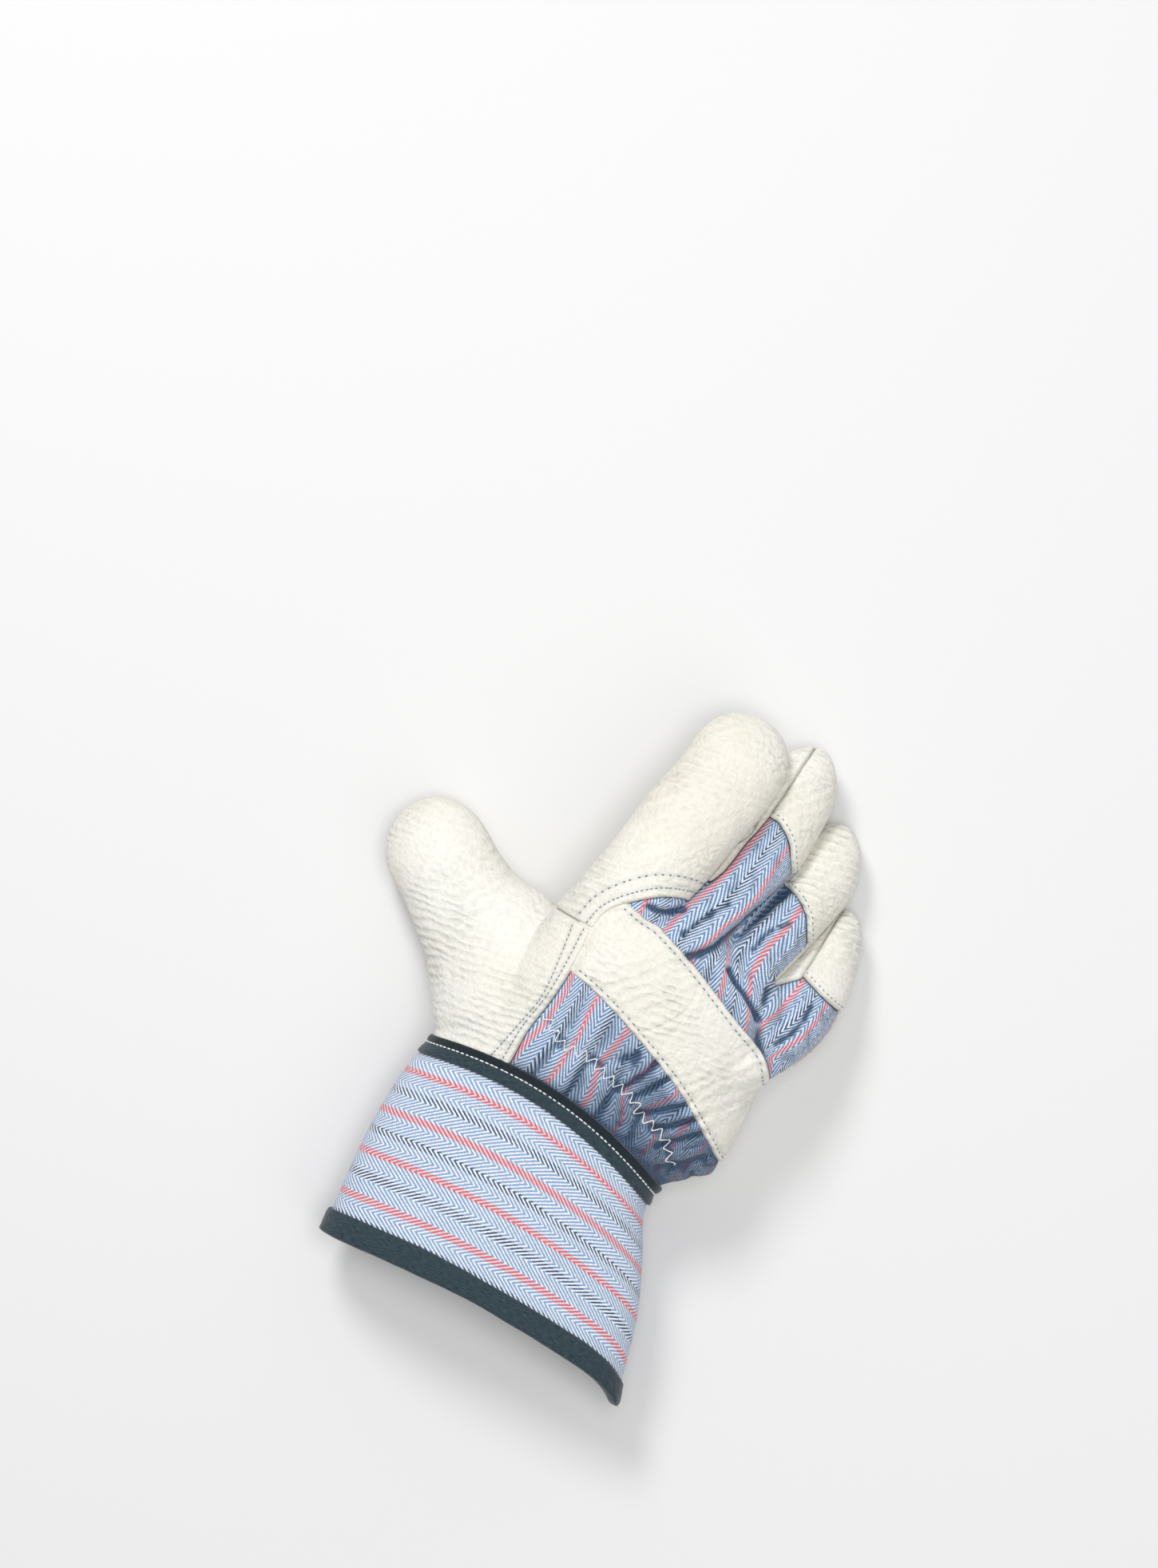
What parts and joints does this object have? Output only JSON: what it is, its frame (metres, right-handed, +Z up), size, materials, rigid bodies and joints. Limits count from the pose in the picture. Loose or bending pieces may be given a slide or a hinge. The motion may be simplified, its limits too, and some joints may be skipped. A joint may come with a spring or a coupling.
{
  "type": "leather safety glove",
  "caption": "Leather work glove for the right hand with a striped cloth back and a stiff flared cuff, lying palm down with its fingers curled.",
  "frame": {"origin": "on the surface that the glove rests on, under the middle of its box", "axes": "+Y from the cuff to the fingers, +X towards the little finger, +Z up out of the back of the hand"},
  "size_m": [0.1772, 0.2452, 0.0607],
  "materials": {
    "leather": "off-white full-grain cowhide",
    "striped_cloth": "blue and white herringbone with red stripes",
    "binding": "dark woven binding tape"
  },
  "bodies": {
    "root": {"palm": "leather", "middle_front": "leather", "ring_front": "leather", "index_back": "leather", "thumb": "leather", "middle_tip": "leather", "ring_tip": "leather", "little_tip": "leather", "knuckle_strap": "leather", "pulse_patch": "leather", "back_cloth": "striped_cloth", "cuff": "striped_cloth", "wrist_binding": "binding", "cuff_hem": "binding"}
  },
  "joints": []
}
